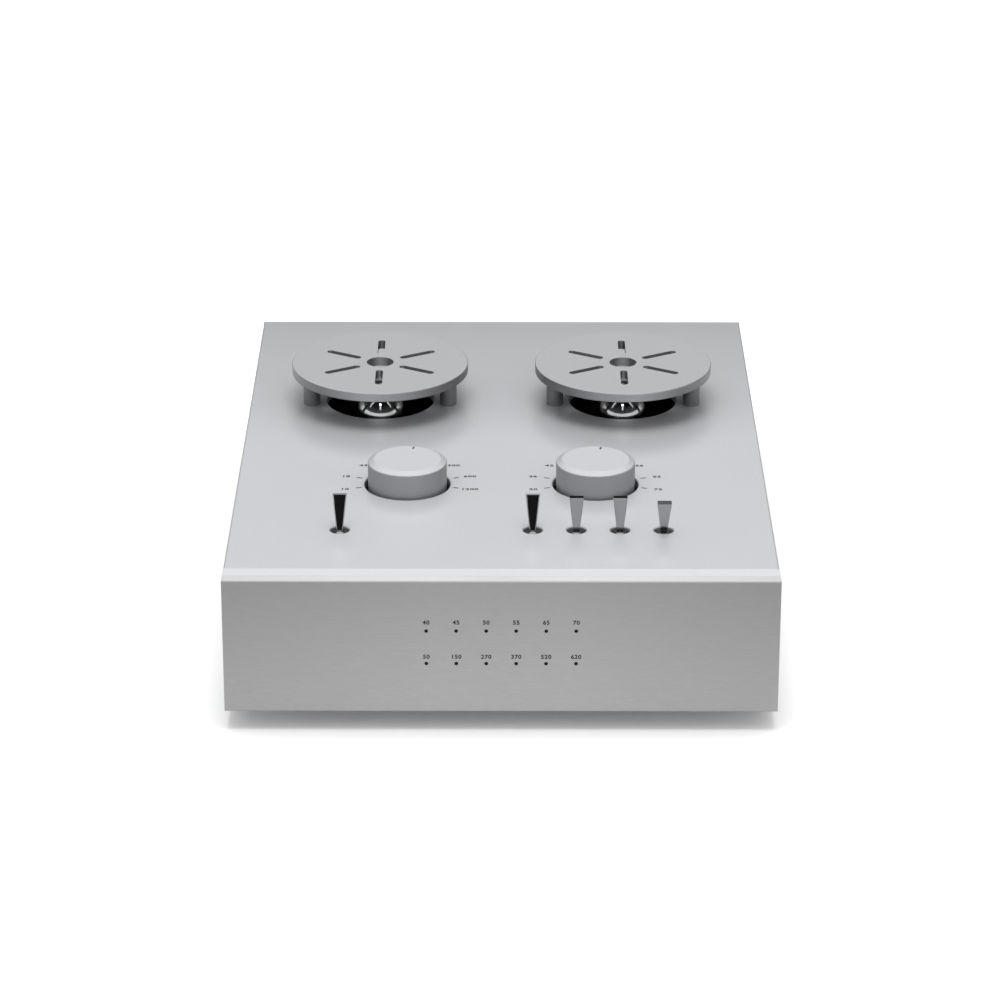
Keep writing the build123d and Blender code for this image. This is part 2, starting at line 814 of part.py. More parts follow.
def getter_ring(x):
    """Flat ring on one wire above the upper disc."""
    low_z = upper_mica_z + getter_ring_height
    high_z = low_z + getter_ring_thickness
    ring = upright(getter_ring_diameter / 2, x, tube_y, low_z, high_z)
    ring -= upright(getter_ring_bore / 2, x, tube_y, low_z, high_z)
    return ring + upright(getter_wire_diameter / 2, x + getter_wire_offset, tube_y, upper_mica_z, low_z)


def electrode_cage(x):
    """Welded cage: two finned anodes and a screen between two discs, on rods that stand on the button."""
    rod_top_z = upper_mica_z + cage_rod_overshoot
    cage = block(
        x - screen_thickness / 2, x + screen_thickness / 2,
        tube_y - screen_depth / 2, tube_y + screen_depth / 2, lower_mica_z, upper_mica_z,
    )
    for z in (lower_mica_z, upper_mica_z):
        cage += upright(mica_radius, x, tube_y, z, z + mica_thickness)
    for side in (-1, 1):
        middle = x + side * anode_offset
        anode = block(
            middle - anode_width / 2, middle + anode_width / 2,
            tube_y - anode_depth / 2, tube_y + anode_depth / 2, lower_mica_z, upper_mica_z,
        )
        cage += fillet(anode.edges().filter_by(Axis.Z), anode_round)
        cage += block(
            middle - anode_fin_thickness / 2, middle + anode_fin_thickness / 2,
            tube_y - anode_fin_depth / 2, tube_y + anode_fin_depth / 2, lower_mica_z, upper_mica_z,
        )
        for end in (-1, 1):
            rod_y = tube_y + end * cage_rod_offset
            cage += upright(cage_rod_diameter / 2, middle, rod_y, tube_floor_z, rod_top_z)
    return cage + getter_ring(x)


def tube_pins():
    pins = []
    for tube_x in tube_x_places.values():
        for x, y in tube_pin_places(tube_x):
            pins.append(upright(tube_pin_diameter / 2, x, y, seat_z - tube_pin_length, seat_z))
    return pins


def tube_socket(tube_x):
    body = upright(socket_diameter / 2, tube_x, tube_y, main_board_top_z, seat_z)
    body -= upright(socket_centre_bore / 2, tube_x, tube_y, main_board_top_z, seat_z)
    for x, y in tube_pin_places(tube_x):
        body -= upright(tube_pin_diameter / 2 + socket_pin_gap, x, y, main_board_top_z, seat_z)
    return body


def tube_shade(x):
    """Flat disc over a valve with a middle hole and six spokes of slots."""
    disc = upright(shade_diameter / 2, x, tube_y, shade_bottom_z, shade_top_z)
    disc = fillet(disc.edges().filter_by(GeomType.CIRCLE), shade_edge_round)
    disc -= upright(shade_hole_diameter / 2, x, tube_y, shade_bottom_z, shade_top_z)
    slot_length = shade_slot_outer_radius - shade_slot_inner_radius
    slot = extrude(SlotOverall(slot_length, shade_slot_width), amount=shade_thickness)
    slot_middle = (shade_slot_inner_radius + shade_slot_outer_radius) / 2
    for number in range(shade_slot_count):
        angle = shade_slot_start_angle + number * 360 / shade_slot_count
        disc -= Pos(x, tube_y, shade_bottom_z) * Rot(0, 0, angle) * Pos(slot_middle, 0, 0) * slot
    for post_place_x, post_place_y in shade_post_places(x):
        hole_top = shade_bottom_z + shade_stud_length + screw_hole_gap
        disc -= upright(screw_hole_radius, post_place_x, post_place_y, shade_bottom_z, hole_top)
    return disc


def shade_post(x, y):
    post = upright(shade_post_diameter / 2, x, y, top_z, shade_bottom_z)
    grip = long_screw_length - cover_thickness + blind_hole_spare
    post -= upright(screw_hole_radius, x, y, top_z, top_z + grip)
    return post + upright(screw_radius, x, y, shade_bottom_z, shade_bottom_z + shade_stud_length)


# ---- Control deck -------------------------------------------------------------------------------
def deck_plate(z_low, z_high):
    return block(-deck_half_width, deck_half_width, deck_front_y, deck_rear_y, z_low, z_high)


def control_bracket():
    """Plate under the cover that the switches' bushings are clamped in."""
    plate = deck_plate(bracket_bottom_z, bracket_top_z)
    for x in dial_x_places.values():
        plate -= upright(bushing_diameter / 2 + screw_hole_gap, x, dial_y, bracket_bottom_z, bracket_top_z)
    for x in toggle_x_places.values():
        hole = toggle_bushing_diameter / 2 + screw_hole_gap
        plate -= upright(hole, x, toggle_y, bracket_bottom_z, bracket_top_z)
    for x, y in pillar_places:
        plate -= upright(screw_hole_radius, x, y, bracket_bottom_z, bracket_top_z)
    return plate


def bracket_pillars():
    pillars = []
    for x, y in pillar_places:
        pillar = upright(pillar_diameter / 2, x, y, bracket_top_z, under_cover_z)
        pillars.append(pillar - upright(screw_hole_radius, x, y, bracket_top_z, under_cover_z))
    return pillars


def control_board():
    plate = deck_plate(deck_board_bottom_z, deck_board_top_z)
    for x, y in pillar_places:
        head_room = pan_head_diameter / 2 + deck_screw_head_gap
        plate -= upright(head_room, x, y, deck_board_bottom_z, deck_board_top_z)
    return plate


def rotary_housing(x):
    """Round switch body with a hollow for the rotor and a threaded bushing for the shaft."""
    body = upright(rotary_diameter / 2, x, dial_y, deck_board_top_z, bracket_bottom_z)
    body += upright(bushing_diameter / 2, x, dial_y, bracket_bottom_z, bracket_bottom_z + bushing_length)
    hollow = rotary_diameter / 2 - rotary_wall
    body -= upright(hollow, x, dial_y, deck_board_top_z + rotary_wall, bracket_bottom_z - rotary_wall)
    bore = shaft_diameter / 2 + shaft_fit_gap
    return body - upright(bore, x, dial_y, bracket_bottom_z - rotary_wall, bracket_bottom_z + bushing_length)


def rotary_nuts():
    bore = bushing_diameter / 2 + screw_hole_gap
    return [
        hex_nut(bushing_nut_width, bushing_nut_height, bore, x, dial_y, bracket_top_z)
        for x in dial_x_places.values()
    ]


def rotary_shaft(x):
    """Shaft with its rotor, free to turn in the bushing and fixed in the dial."""
    shaft = upright(shaft_diameter / 2, x, dial_y, rotor_low_z, dial_bore_top_z - dial_bore_spare)
    return shaft + upright(rotor_diameter / 2, x, dial_y, rotor_low_z, rotor_low_z + rotor_thickness)


def set_screw_span(radius, x, inner, outer):
    """Radial bar through the dial's skirt, under the pointer mark."""
    bar = Pos((inner + outer) / 2, 0, 0) * Rot(0, 90, 0) * Cylinder(radius, outer - inner)
    return Pos(x, dial_y, set_screw_z) * Rot(0, 0, dial_mark_angle) * bar


def dial_knob(x):
    radius = dial_diameter / 2
    chamfer_low_z = dial_top_z - dial_chamfer_height
    slope = Cone(radius, radius - dial_chamfer_width, dial_chamfer_height)
    knob = upright(radius, x, dial_y, dial_bottom_z, chamfer_low_z)
    knob += Pos(x, dial_y, (chamfer_low_z + dial_top_z) / 2) * slope
    rims = knob.edges().filter_by(GeomType.CIRCLE).sort_by(Axis.Z)[-2:]
    knob = fillet(rims, dial_chamfer_round)
    knob -= upright(shaft_diameter / 2 + shaft_fit_gap, x, dial_y, dial_bottom_z, dial_bore_top_z)
    knob -= set_screw_span(screw_hole_radius, x, 0, dial_diameter)
    mark_length = dial_mark_outer_radius - dial_mark_inner_radius
    mark = SlotOverall(mark_length, dial_mark_width)
    mark_middle = (dial_mark_inner_radius + dial_mark_outer_radius) / 2
    groove = extrude(mark, amount=dial_mark_depth)
    pointer = Pos(x, dial_y, dial_top_z - dial_mark_depth) * Rot(0, 0, dial_mark_angle)
    return knob - pointer * Pos(mark_middle, 0, 0) * groove


def dial_set_screw(x):
    inner = shaft_diameter / 2 + shaft_fit_gap
    return set_screw_span(screw_radius, x, inner, inner + set_screw_length)


# ---- Toggles ------------------------------------------------------------------------------------
def toggle_housing(x):
    """Switch body with a threaded bushing that holds the lever's ball."""
    body = block(
        x - toggle_housing_width / 2, x + toggle_housing_width / 2,
        toggle_y - toggle_housing_depth / 2, toggle_y + toggle_housing_depth / 2,
        deck_board_top_z, bracket_bottom_z,
    )
    wall = toggle_housing_wall
    body -= block(
        x - toggle_housing_width / 2 + wall, x + toggle_housing_width / 2 - wall,
        toggle_y - toggle_housing_depth / 2 + wall, toggle_y + toggle_housing_depth / 2 - wall,
        deck_board_top_z + wall, bracket_bottom_z - wall,
    )
    body += upright(toggle_bushing_diameter / 2, x, toggle_y, bracket_bottom_z, toggle_bushing_top_z)
    throat = toggle_ball_diameter / 2 + toggle_fit_gap
    chamber_top_z = toggle_pivot_z - toggle_ball_diameter / 2
    body -= upright(throat, x, toggle_y, chamber_top_z, toggle_bushing_top_z)
    body -= edge_break(throat, x, toggle_y, toggle_bushing_top_z, toggle_mouth_break)
    return body - upright(toggle_chamber_diameter / 2, x, toggle_y, bracket_bottom_z - wall, chamber_top_z)


def toggle_nuts():
    bore = toggle_bushing_diameter / 2 + screw_hole_gap
    return [
        hex_nut(toggle_nut_width, toggle_nut_height, bore, x, toggle_y, bracket_top_z)
        for x in toggle_x_places.values()
    ]


def toggle_lever(x, lean):
    """Lever with a ball at its pivot, a stem below it and a paddle that widens to the tip."""
    ball = Sphere(toggle_ball_diameter / 2)
    stem = Cone(toggle_stem_end_diameter / 2, toggle_neck_diameter / 2, toggle_stem_length)
    stem = Pos(0, 0, -toggle_stem_length / 2) * stem
    root = RectangleRounded(toggle_root_width, toggle_root_thickness, toggle_corner_round)
    tip = RectangleRounded(toggle_tip_width, toggle_tip_thickness, toggle_corner_round)
    paddle = loft([Pos(0, 0, toggle_root_height) * root, Pos(0, 0, toggle_lever_length) * tip])
    paddle = fillet(paddle.faces().sort_by(Axis.Z)[-1].edges(), toggle_tip_round)
    neck_height = toggle_root_height + toggle_neck_overlap
    neck = Pos(0, 0, neck_height / 2) * Cylinder(toggle_neck_diameter / 2, neck_height)
    lever = ball + stem + neck + paddle
    return Pos(x, toggle_y, toggle_pivot_z) * Rot(-lean, 0, 0) * lever


# ---- Lights -------------------------------------------------------------------------------------
def light_pipes(z):
    radius = light_diameter / 2
    return [along_y(radius, x, z, front_y, seam_y + light_tail) for x in light_x_places]


def light_emitters():
    y_low = seam_y + light_tail + light_air_gap
    boxes = []
    for x in light_x_places:
        for z in (light_upper_z, light_lower_z):
            boxes.append(block(
                x - emitter_width / 2, x + emitter_width / 2, y_low, light_board_y,
                z - emitter_height / 2, z + emitter_height / 2,
            ))
    return boxes


def light_board():
    return block(
        -light_board_half_width, light_board_half_width, light_board_y, light_board_back_y,
        light_board_low_z, light_board_high_z,
    )


def light_board_standoffs():
    radius = light_board_standoff_diameter / 2
    return [along_y(radius, x, z, seam_y, light_board_y) for x, z in light_standoff_places]


# ---- Flat cables --------------------------------------------------------------------------------
def ribbon_headers():
    """Box headers: light board, deck board front, deck board rear and main board."""
    light_half = light_ribbon_width / 2 + header_overhang
    control_half = control_ribbon_width / 2 + header_overhang
    half = header_depth / 2
    return [
        block(
            -light_half, light_half, light_board_back_y, light_board_back_y + header_height,
            light_header_z - half, light_header_z + half,
        ),
        block(
            -light_half, light_half, light_deck_header_y - half, light_deck_header_y + half,
            deck_header_low_z, deck_board_bottom_z,
        ),
        block(
            -control_half, control_half, control_deck_header_y - half, control_deck_header_y + half,
            deck_header_low_z, deck_board_bottom_z,
        ),
        block(
            -control_half, control_half, control_main_header_y - half, control_main_header_y + half,
            main_board_top_z, main_board_top_z + header_height,
        ),
    ]


def ribbon_cables():
    light_route = [
        (light_board_back_y + header_height, light_header_z),
        (light_deck_header_y, light_header_z),
        (light_deck_header_y, deck_header_low_z),
    ]
    middle_z = (deck_header_low_z + main_board_top_z + header_height) / 2
    control_route = [
        (control_deck_header_y, deck_header_low_z),
        (control_deck_header_y, middle_z),
        (control_main_header_y, middle_z),
        (control_main_header_y, main_board_top_z + header_height),
    ]
    return [
        flat_cable(light_route, light_ribbon_width, 0),
        flat_cable(control_route, control_ribbon_width, 0),
    ]


# ---- Rear connectors ----------------------------------------------------------------------------
def jack_housing(x):
    """Moulded block on the board, against the rear panel, that holds two jacks one above the other."""
    top = jack_z_places[-1] + jack_housing_top_margin
    front = cover_back_y - jack_housing_depth
    side = jack_housing_width / 2
    body = block(x - side, x + side, front, cover_back_y, main_board_top_z, top)
    body = fillet(body.faces().sort_by(Axis.Z)[-1].edges().filter_by(Axis.Y), jack_housing_round)
    for z in jack_z_places:
        body -= along_y(jack_root_diameter / 2 + jack_part_gap, x, z, jack_shell_back_y, cover_back_y)
    return body


def jack_shell(x, z):
    """Barrel that a plug slides over, on a thinner root held in the housing."""
    barrel = along_y(jack_barrel_diameter / 2, x, z, jack_barrel_y, jack_tip_y)
    barrel = chamfer(barrel.edges().filter_by(GeomType.CIRCLE).sort_by(Axis.Y)[-1:], jack_edge_break)
    barrel += along_y(jack_root_diameter / 2, x, z, jack_shell_back_y, jack_barrel_y)
    return barrel - along_y(jack_barrel_bore / 2, x, z, jack_shell_back_y, jack_tip_y)


def jack_insulator(x, z):
    core = along_y(jack_barrel_bore / 2 - jack_part_gap, x, z, jack_shell_back_y, jack_insulator_tip_y)
    bore = jack_contact_diameter / 2 + jack_part_gap
    return core - along_y(bore, x, z, jack_shell_back_y, jack_insulator_tip_y)


def jack_contact(x, z):
    tube = along_y(jack_contact_diameter / 2, x, z, jack_shell_back_y, jack_insulator_tip_y)
    floor_y = jack_shell_back_y + jack_contact_floor
    return tube - along_y(jack_contact_bore / 2, x, z, floor_y, jack_insulator_tip_y)


def for_each_jack(maker):
    return [maker(x, z) for x in jack_x_places for z in jack_z_places]


def power_inlet():
    """Barrel socket on the board whose round nose comes through the rear panel."""
    body = block(
        inlet_x - inlet_width / 2, inlet_x + inlet_width / 2,
        cover_back_y - inlet_depth, cover_back_y, main_board_top_z, main_board_top_z + inlet_height,
    )
    body += along_y(inlet_nose_diameter / 2, inlet_x, inlet_z, cover_back_y, inlet_nose_y)
    return body - along_y(inlet_bore / 2, inlet_x, inlet_z, inlet_nose_y - inlet_bore_depth, inlet_nose_y)


def inlet_pin():
    """Centre contact of the power inlet, a little short of the nose."""
    low_y = inlet_nose_y - inlet_bore_depth
    pin = along_y(inlet_pin_diameter / 2, inlet_x, inlet_z, low_y, inlet_nose_y - inlet_pin_recess)
    return fillet(pin.edges().filter_by(GeomType.CIRCLE).sort_by(Axis.Y)[-1:], inlet_pin_round)


def ground_post():
    """Stud pressed in the rear panel, with a hexagonal flange for a spade lug to sit on."""
    stud = ground_stud_diameter / 2
    post = along_y(stud, ground_x, ground_z, cover_back_y - ground_tail, back_y + ground_reach)
    post = chamfer(post.edges().filter_by(GeomType.CIRCLE).sort_by(Axis.Y)[-1:], ground_stud_break)
    outline = RegularPolygon(ground_flange_diameter / 2, 6, major_radius=False)
    flange = facing_rear * extrude(outline, amount=ground_flange_thickness)
    return post + Pos(ground_x, back_y, ground_z) * flange


def ground_washer():
    y_high = ground_washer_y + ground_washer_thickness
    ring = along_y(ground_washer_diameter / 2, ground_x, ground_z, ground_washer_y, y_high)
    bore = ground_stud_diameter / 2 + ground_thread_gap
    return ring - along_y(bore, ground_x, ground_z, ground_washer_y, y_high)


def ground_nut():
    """Thumb nut with flutes round its rim and a step towards the washer."""
    y_high = ground_nut_y + ground_nut_length
    nut = along_y(ground_nut_diameter / 2, ground_x, ground_z, ground_nut_y, y_high)
    nut = chamfer(nut.edges().filter_by(GeomType.CIRCLE), ground_nut_break)
    flute_circle = ground_nut_diameter / 2 + ground_flute_offset
    for number in range(ground_flute_count):
        turn = 2 * math.pi * number / ground_flute_count
        x = ground_x + flute_circle * math.cos(turn)
        z = ground_z + flute_circle * math.sin(turn)
        nut -= along_y(ground_flute_radius, x, z, ground_nut_y, y_high)
    bore = ground_stud_diameter / 2 + ground_thread_gap
    return nut - along_y(bore, ground_x, ground_z, ground_nut_y, y_high)


# ---- Every piece by name ------------------------------------------------------------------------
nodes = {
    "top_cover": [top_cover()],
    "base_plate": [base_plate()],
    "front_frame": [front_frame()],
    "front_fascia": [front_fascia()],
    "rear_panel": [rear_panel()],
    "corner_posts": [corner_post(x, y) for x, y in post_places],
    "case_screws": case_screws(),
    "fascia_screws": fascia_screws(),
    "feet": [foot(x, y) for x, y in foot_places],
    "foot_screws": rising_screws(foot_places, foot_recess_depth),
    "shade_screws": rising_screws(all_shade_post_places, under_cover_z),
    "main_board": [main_board()],
    "board_standoffs": main_board_standoffs() + light_board_standoffs(),
    "board_screws": board_screws(),
    "relays": relays(),
    "can_capacitors": can_capacitors(),
    "film_capacitors": film_capacitors(),
    "chips": chips(),
    "heat_sinks": heat_sinks(),
    "regulators": regulators(),
    "inductor": [inductor()],
    "tube_electrodes": [electrode_cage(x) for x in tube_x_places.values()],
    "tube_pins": tube_pins(),
    "tube_sockets": [tube_socket(x) for x in tube_x_places.values()],
    "shade_posts": [shade_post(x, y) for x, y in all_shade_post_places],
    "control_bracket": [control_bracket()],
    "bracket_pillars": bracket_pillars(),
    "control_board": [control_board()],
    "rotary_housings": [rotary_housing(x) for x in dial_x_places.values()],
    "toggle_housings": [toggle_housing(x) for x in toggle_x_places.values()],
    "switch_nuts": rotary_nuts() + toggle_nuts(),
    "gain_lights": light_pipes(light_upper_z),
    "capacitance_lights": light_pipes(light_lower_z),
    "light_emitters": light_emitters(),
    "light_board": [light_board()],
    "ribbon_headers": ribbon_headers(),
    "ribbon_cables": ribbon_cables(),
    "jack_housings": [jack_housing(x) for x in jack_x_places],
    "jack_shells": for_each_jack(jack_shell),
    "jack_insulators": for_each_jack(jack_insulator),
    "jack_contacts": for_each_jack(jack_contact),
    "power_inlet": [power_inlet(), inlet_pin()],
    "ground_post": [ground_post()],
    "ground_washer": [ground_washer()],
    "ground_nut": [ground_nut()],
}
for side, place in tube_x_places.items():
    nodes[f"tube_glass_{side}"] = [tube_glass(place)]
    nodes[f"tube_shade_{side}"] = [tube_shade(place)]
for side, place in dial_x_places.items():
    nodes[f"dial_{side}"] = [dial_knob(place)]
    nodes[f"dial_set_screw_{side}"] = [dial_set_screw(place)]
    nodes[f"rotary_shaft_{side}"] = [rotary_shaft(place)]
for name, place in toggle_x_places.items():
    nodes[f"{name}_lever"] = [toggle_lever(place, toggle_lean[name])]


def single_solids(shapes):
    return [solid for shape in shapes for solid in shape.solids()]


os.makedirs("parts", exist_ok=True)
for name, shapes in nodes.items():
    solids = single_solids(shapes)
    export_step(solids[0] if len(solids) == 1 else Compound(children=solids), f"parts/{name}.step")
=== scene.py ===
"""Valve phono preamplifier: finishes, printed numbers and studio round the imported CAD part.

Metres, in the part's own frame: X to the right seen from the front, Y towards the rear panel, Z up.
"""

import math

import bmesh
import bpy
from mathutils import Matrix, Vector


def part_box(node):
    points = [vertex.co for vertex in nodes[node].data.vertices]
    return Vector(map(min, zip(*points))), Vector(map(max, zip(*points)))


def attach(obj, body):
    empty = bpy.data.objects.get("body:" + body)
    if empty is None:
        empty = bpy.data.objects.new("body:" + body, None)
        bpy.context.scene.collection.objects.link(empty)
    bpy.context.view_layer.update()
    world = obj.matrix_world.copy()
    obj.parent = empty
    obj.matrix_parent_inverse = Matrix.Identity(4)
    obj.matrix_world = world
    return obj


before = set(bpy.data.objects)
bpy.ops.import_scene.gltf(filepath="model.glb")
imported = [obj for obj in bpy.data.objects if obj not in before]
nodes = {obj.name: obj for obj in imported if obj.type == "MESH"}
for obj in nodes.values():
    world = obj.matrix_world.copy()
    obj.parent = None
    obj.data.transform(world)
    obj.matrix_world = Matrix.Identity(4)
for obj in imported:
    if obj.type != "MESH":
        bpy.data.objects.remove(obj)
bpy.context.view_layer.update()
MM = 0.001

# ---- Camera, worked out from the edges of the case in the photograph ------------------------------
CAMERA_PLACE = Vector((0.00003, -1.45110, 0.64375))
CAMERA_PITCH = math.radians(22.831)
CAMERA_YAW = math.radians(-0.024)
CAMERA_ROLL = math.radians(0.065)
CAMERA_LENS_MM = 137.3
SENSOR_WIDTH_MM = 36.0

# ---- Studio -------------------------------------------------------------------------------------
FLOOR_HALF_WIDTH = 2.2
FLOOR_COLOR = (0.86, 0.86, 0.863)
FLOOR_GLOW = 0.04
SKY_STRENGTH = 1.2
# Brightness of the room by the sine of the height above the horizon: before the object and behind it.
# Low down before it the room is dark, and behind it hang two dark flags, which the levers mirror.
SKY_BEFORE = [(0.0, 0.02), (0.10, 0.02), (0.13, 0.80), (0.60, 0.80), (0.80, 1.0), (1.0, 1.0)]
SKY_BEHIND = [
    (0.0, 0.40), (0.05, 0.30), (0.12, 0.08), (0.30, 0.05), (0.345, 0.03), (0.437, 0.03), (0.47, 1.0),
    (0.755, 1.0), (0.775, 0.08), (0.825, 0.08), (0.845, 1.0), (1.0, 1.0),
]
# The Y part of the direction at which the room before starts to turn into the one behind, and ends.
SKY_TURN = (0.1, 0.8)
SOFTBOX_SIZE = 0.8
SOFTBOX_PLACE = Vector((0.0, -0.1, 1.45))
SOFTBOX_POWER = 14.0

# ---- Places on the object, read from the frame --------------------------------------------------
cover_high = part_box("top_cover")[1]
fascia_low, fascia_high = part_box("front_fascia")


def middle(node):
    low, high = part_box(node)
    return (low + high) / 2


# ---- Finish of the aluminium, with painted light and shade --------------------------------------
# Shaded as half metal and half paint, so that it stays evenly lit from every side.
METAL_SHARE = 0.5
# Its grey is very slightly blue.
COOL_TINT = (0.975, 0.985, 1.015)
# The shares below hold light and shade of the photograph in the colour itself. They are set by its
# tones, and aren't differences known from the real finish.
# How much of its colour a surface keeps, by the height of its normal: -1 faces down, 1 faces up.
CASE_SLOPES = [(-1.0, 0.7), (0.0, 0.7), (0.9, 0.7), (1.0, 1.0)]
DIAL_SLOPES = [(-1.0, 0.3), (-0.5, 0.3), (0.0, 0.58), (0.5, 0.66), (0.85, 0.92), (0.93, 0.95), (1.0, 1.0)]
FRAME_SLOPES = [(-1.0, 0.7), (0.0, 0.7), (0.5, 1.0), (1.0, 1.0)]
SHADE_SLOPES = [(-1.0, 0.25), (-0.5, 0.25), (0.0, 0.87), (0.5, 0.88), (0.9, 0.92), (1.0, 1.0)]
FASCIA_SLOPES = [(-1.0, 0.375), (0.0, 0.375), (0.6, 0.58), (0.85, 0.58), (1.0, 1.0)]
# And how much of that is left where a wall faces sideways: the share, and the sideways part of the
# normal at which the change starts and ends.
DIAL_SIDES = (0.78, 0.25, 1.0)
SHADE_SIDES = (0.40, 0.10, 0.62)
# Painted light and shade: the fascia grows paler from its top to its foot.
FASCIA_TOP_SHARE = 0.82
FASCIA_FOOT_SHARE = 1.13
# Painted shade: it is even over the middle FASCIA_EVEN_SHARE of its width, then darker to each end.
FASCIA_EVEN_SHARE = 0.25
FASCIA_END_SHARE = 0.87
FASCIA_EDGE_ROUGHNESS = 0.5
# Painted shade: the cover grows darker from its middle to the rear.
COVER_REAR_SHARE = 0.76

# ---- Textures -----------------------------------------------------------------------------------
# Cells of noise to a metre: the grain of blasting or brushing, the ripple of plated and moulded
# surfaces, and the marks that handling leaves.
GRAINS_PER_METRE = 2600.0
RIPPLES_PER_METRE = 900.0
MARKS_PER_METRE = 260.0
GRAIN_HEIGHT = 0.02 * MM
COATING_HEIGHT = 0.03 * MM
# The part of its 0 to 1 range in which most of a noise texture's values lie.
NOISE_RANGE = (0.3, 0.7)
# A wave texture of scale 1 runs through this many radians in a metre.
WAVE_RADIANS = 20
CONDUCTOR_PITCH = 1.27 * MM
WINDING_RIDGES = 60.0


# ---- Node helpers; made is the material, or the world, that the nodes belong to -------------------
def surface(name, color, roughness, metallic=0.0, **inputs):
    """New Principled material; further inputs are set by their names with _ for a space."""
    made = bpy.data.materials.new(name)
    made.use_nodes = True
    shader = principled(made)
    shader.inputs["Base Color"].default_value = (*color, 1.0)
    shader.inputs["Roughness"].default_value = roughness
    shader.inputs["Metallic"].default_value = metallic
    for key, value in inputs.items():
        shader.inputs[key.replace("_", " ")].default_value = value
    return made


def principled(made):
    return made.node_tree.nodes["Principled BSDF"]


def add(made, kind, **settings):
    """New shader node, with its settings by name."""
    node = made.node_tree.nodes.new(f"ShaderNode{kind}")
    for key, value in settings.items():
        setattr(node, key, value)
    return node


def link(made, output, socket):
    made.node_tree.links.new(output, socket)


def own_place(made, centre=(0, 0, 0), stretch=(1, 1, 1)):
    """Place on the piece itself, moved so that centre is the origin and then stretched."""
    coordinates = add(made, "TexCoord")
    shift = add(made, "VectorMath", operation="SUBTRACT")
    shift.inputs[1].default_value = centre
    scale = add(made, "VectorMath", operation="MULTIPLY")
    scale.inputs[1].default_value = stretch
    link(made, coordinates.outputs["Object"], shift.inputs[0])
    link(made, shift.outputs[0], scale.inputs[0])
    return scale.outputs[0]


def one_part(made, vector, axis):
    parts = add(made, "SeparateXYZ")
    link(made, vector, parts.inputs[0])
    return parts.outputs[axis]


def normal_part(made, axis):
    """The surface normal's part along one axis."""
    return one_part(made, add(made, "NewGeometry").outputs["Normal"], axis)


def calculate(made, operation, *values):
    """Math node over other nodes' outputs and plain numbers."""
    node = add(made, "Math", operation=operation)
    for socket, value in zip(node.inputs, values):
        if isinstance(value, bpy.types.NodeSocket):
            link(made, value, socket)
        else:
            socket.default_value = value
    return node.outputs[0]


def lay_out(made, value, source=(0.0, 1.0), target=(0.0, 1.0), interpolation="LINEAR"):
    """A value within source laid out over target."""
    ranged = add(made, "MapRange", interpolation_type=interpolation)
    for key, number in zip(("From Min", "From Max", "To Min", "To Max"), (*source, *target)):
        ranged.inputs[key].default_value = number
    link(made, value, ranged.inputs["Value"])
    return ranged.outputs["Result"]


def color_ramp(made, value, points, interpolation="LINEAR"):
    """Ramp over a value, through (position, colour) points."""
    ramp = add(made, "ValToRGB")
    ramp.color_ramp.interpolation = interpolation
    stops = ramp.color_ramp.elements
    while len(stops) < len(points):
        stops.new(0.5)
    for stop, (position, color) in zip(stops, points):
        stop.position = position
        stop.color = (*color, 1.0)
    link(made, value, ramp.inputs["Fac"])
    return ramp.outputs["Color"]


def noise(made, cells_per_metre, detail=3.0, stretch=(1, 1, 1)):
    texture = add(made, "TexNoise")
    texture.inputs["Scale"].default_value = cells_per_metre
    texture.inputs["Detail"].default_value = detail
    link(made, own_place(made, stretch=stretch), texture.inputs["Vector"])
    return texture.outputs["Fac"]


def vary_roughness(made, value, low, high):
    link(made, lay_out(made, value, target=(low, high)), principled(made).inputs["Roughness"])


def vary_color(made, value, dark, light):
    """Colour from dark to light by a 0 to 1 value."""
    mixed = color_ramp(made, value, list(zip(NOISE_RANGE, (dark, light))))
    link(made, mixed, principled(made).inputs["Base Color"])


def darker_and_lighter(color, by):
    return [part * (1 - by) for part in color], [min(1.0, part * (1 + by)) for part in color]


def keep_share(made, share):
    """Scales the colour that the material has so far."""
    color = principled(made).inputs["Base Color"]
    scale = add(made, "VectorMath", operation="SCALE")
    link(made, color.links[0].from_socket, scale.inputs[0])
    link(made, share, scale.inputs["Scale"])
    link(made, scale.outputs[0], color)


def paint_shade_by_slope(made, slopes):
    """Painted light and shade: scales the colour by (height of the normal, share) points."""
    height = lay_out(made, normal_part(made, "Z"), source=(-1.0, 1.0))
    points = [((level + 1) / 2, [share] * 3) for level, share in slopes]
    keep_share(made, color_ramp(made, height, points))


def paint_shade_on_sides(made, side_share, first, last):
    """Painted shade: walls that face left or right keep only side_share of the colour."""
    sideways = calculate(made, "ABSOLUTE", normal_part(made, "X"))
    keep_share(made, lay_out(made, sideways, (first, last), (1.0, side_share)))


def raise_bumps(made, value, strength, height=GRAIN_HEIGHT):
    bump = add(made, "Bump")
    bump.inputs["Strength"].default_value = strength
    bump.inputs["Distance"].default_value = height
    link(made, value, bump.inputs["Height"])
    link(made, bump.outputs["Normal"], principled(made).inputs["Normal"])


def cool(grey):
    return [grey * part for part in COOL_TINT]


# ---- Metals -------------------------------------------------------------------------------------
def blasted_aluminium(name, grey, roughness):
    """Bead-blasted and clear anodised: satin, with a fine even grain."""
    made = surface(name, cool(grey), roughness, METAL_SHARE)
    grain = noise(made, GRAINS_PER_METRE, detail=2.0)
    vary_color(made, grain, *darker_and_lighter(cool(grey), by=0.045))
    vary_roughness(made, noise(made, 45.0), roughness - 0.025, roughness + 0.025)
    raise_bumps(made, grain, strength=0.12)
    return made


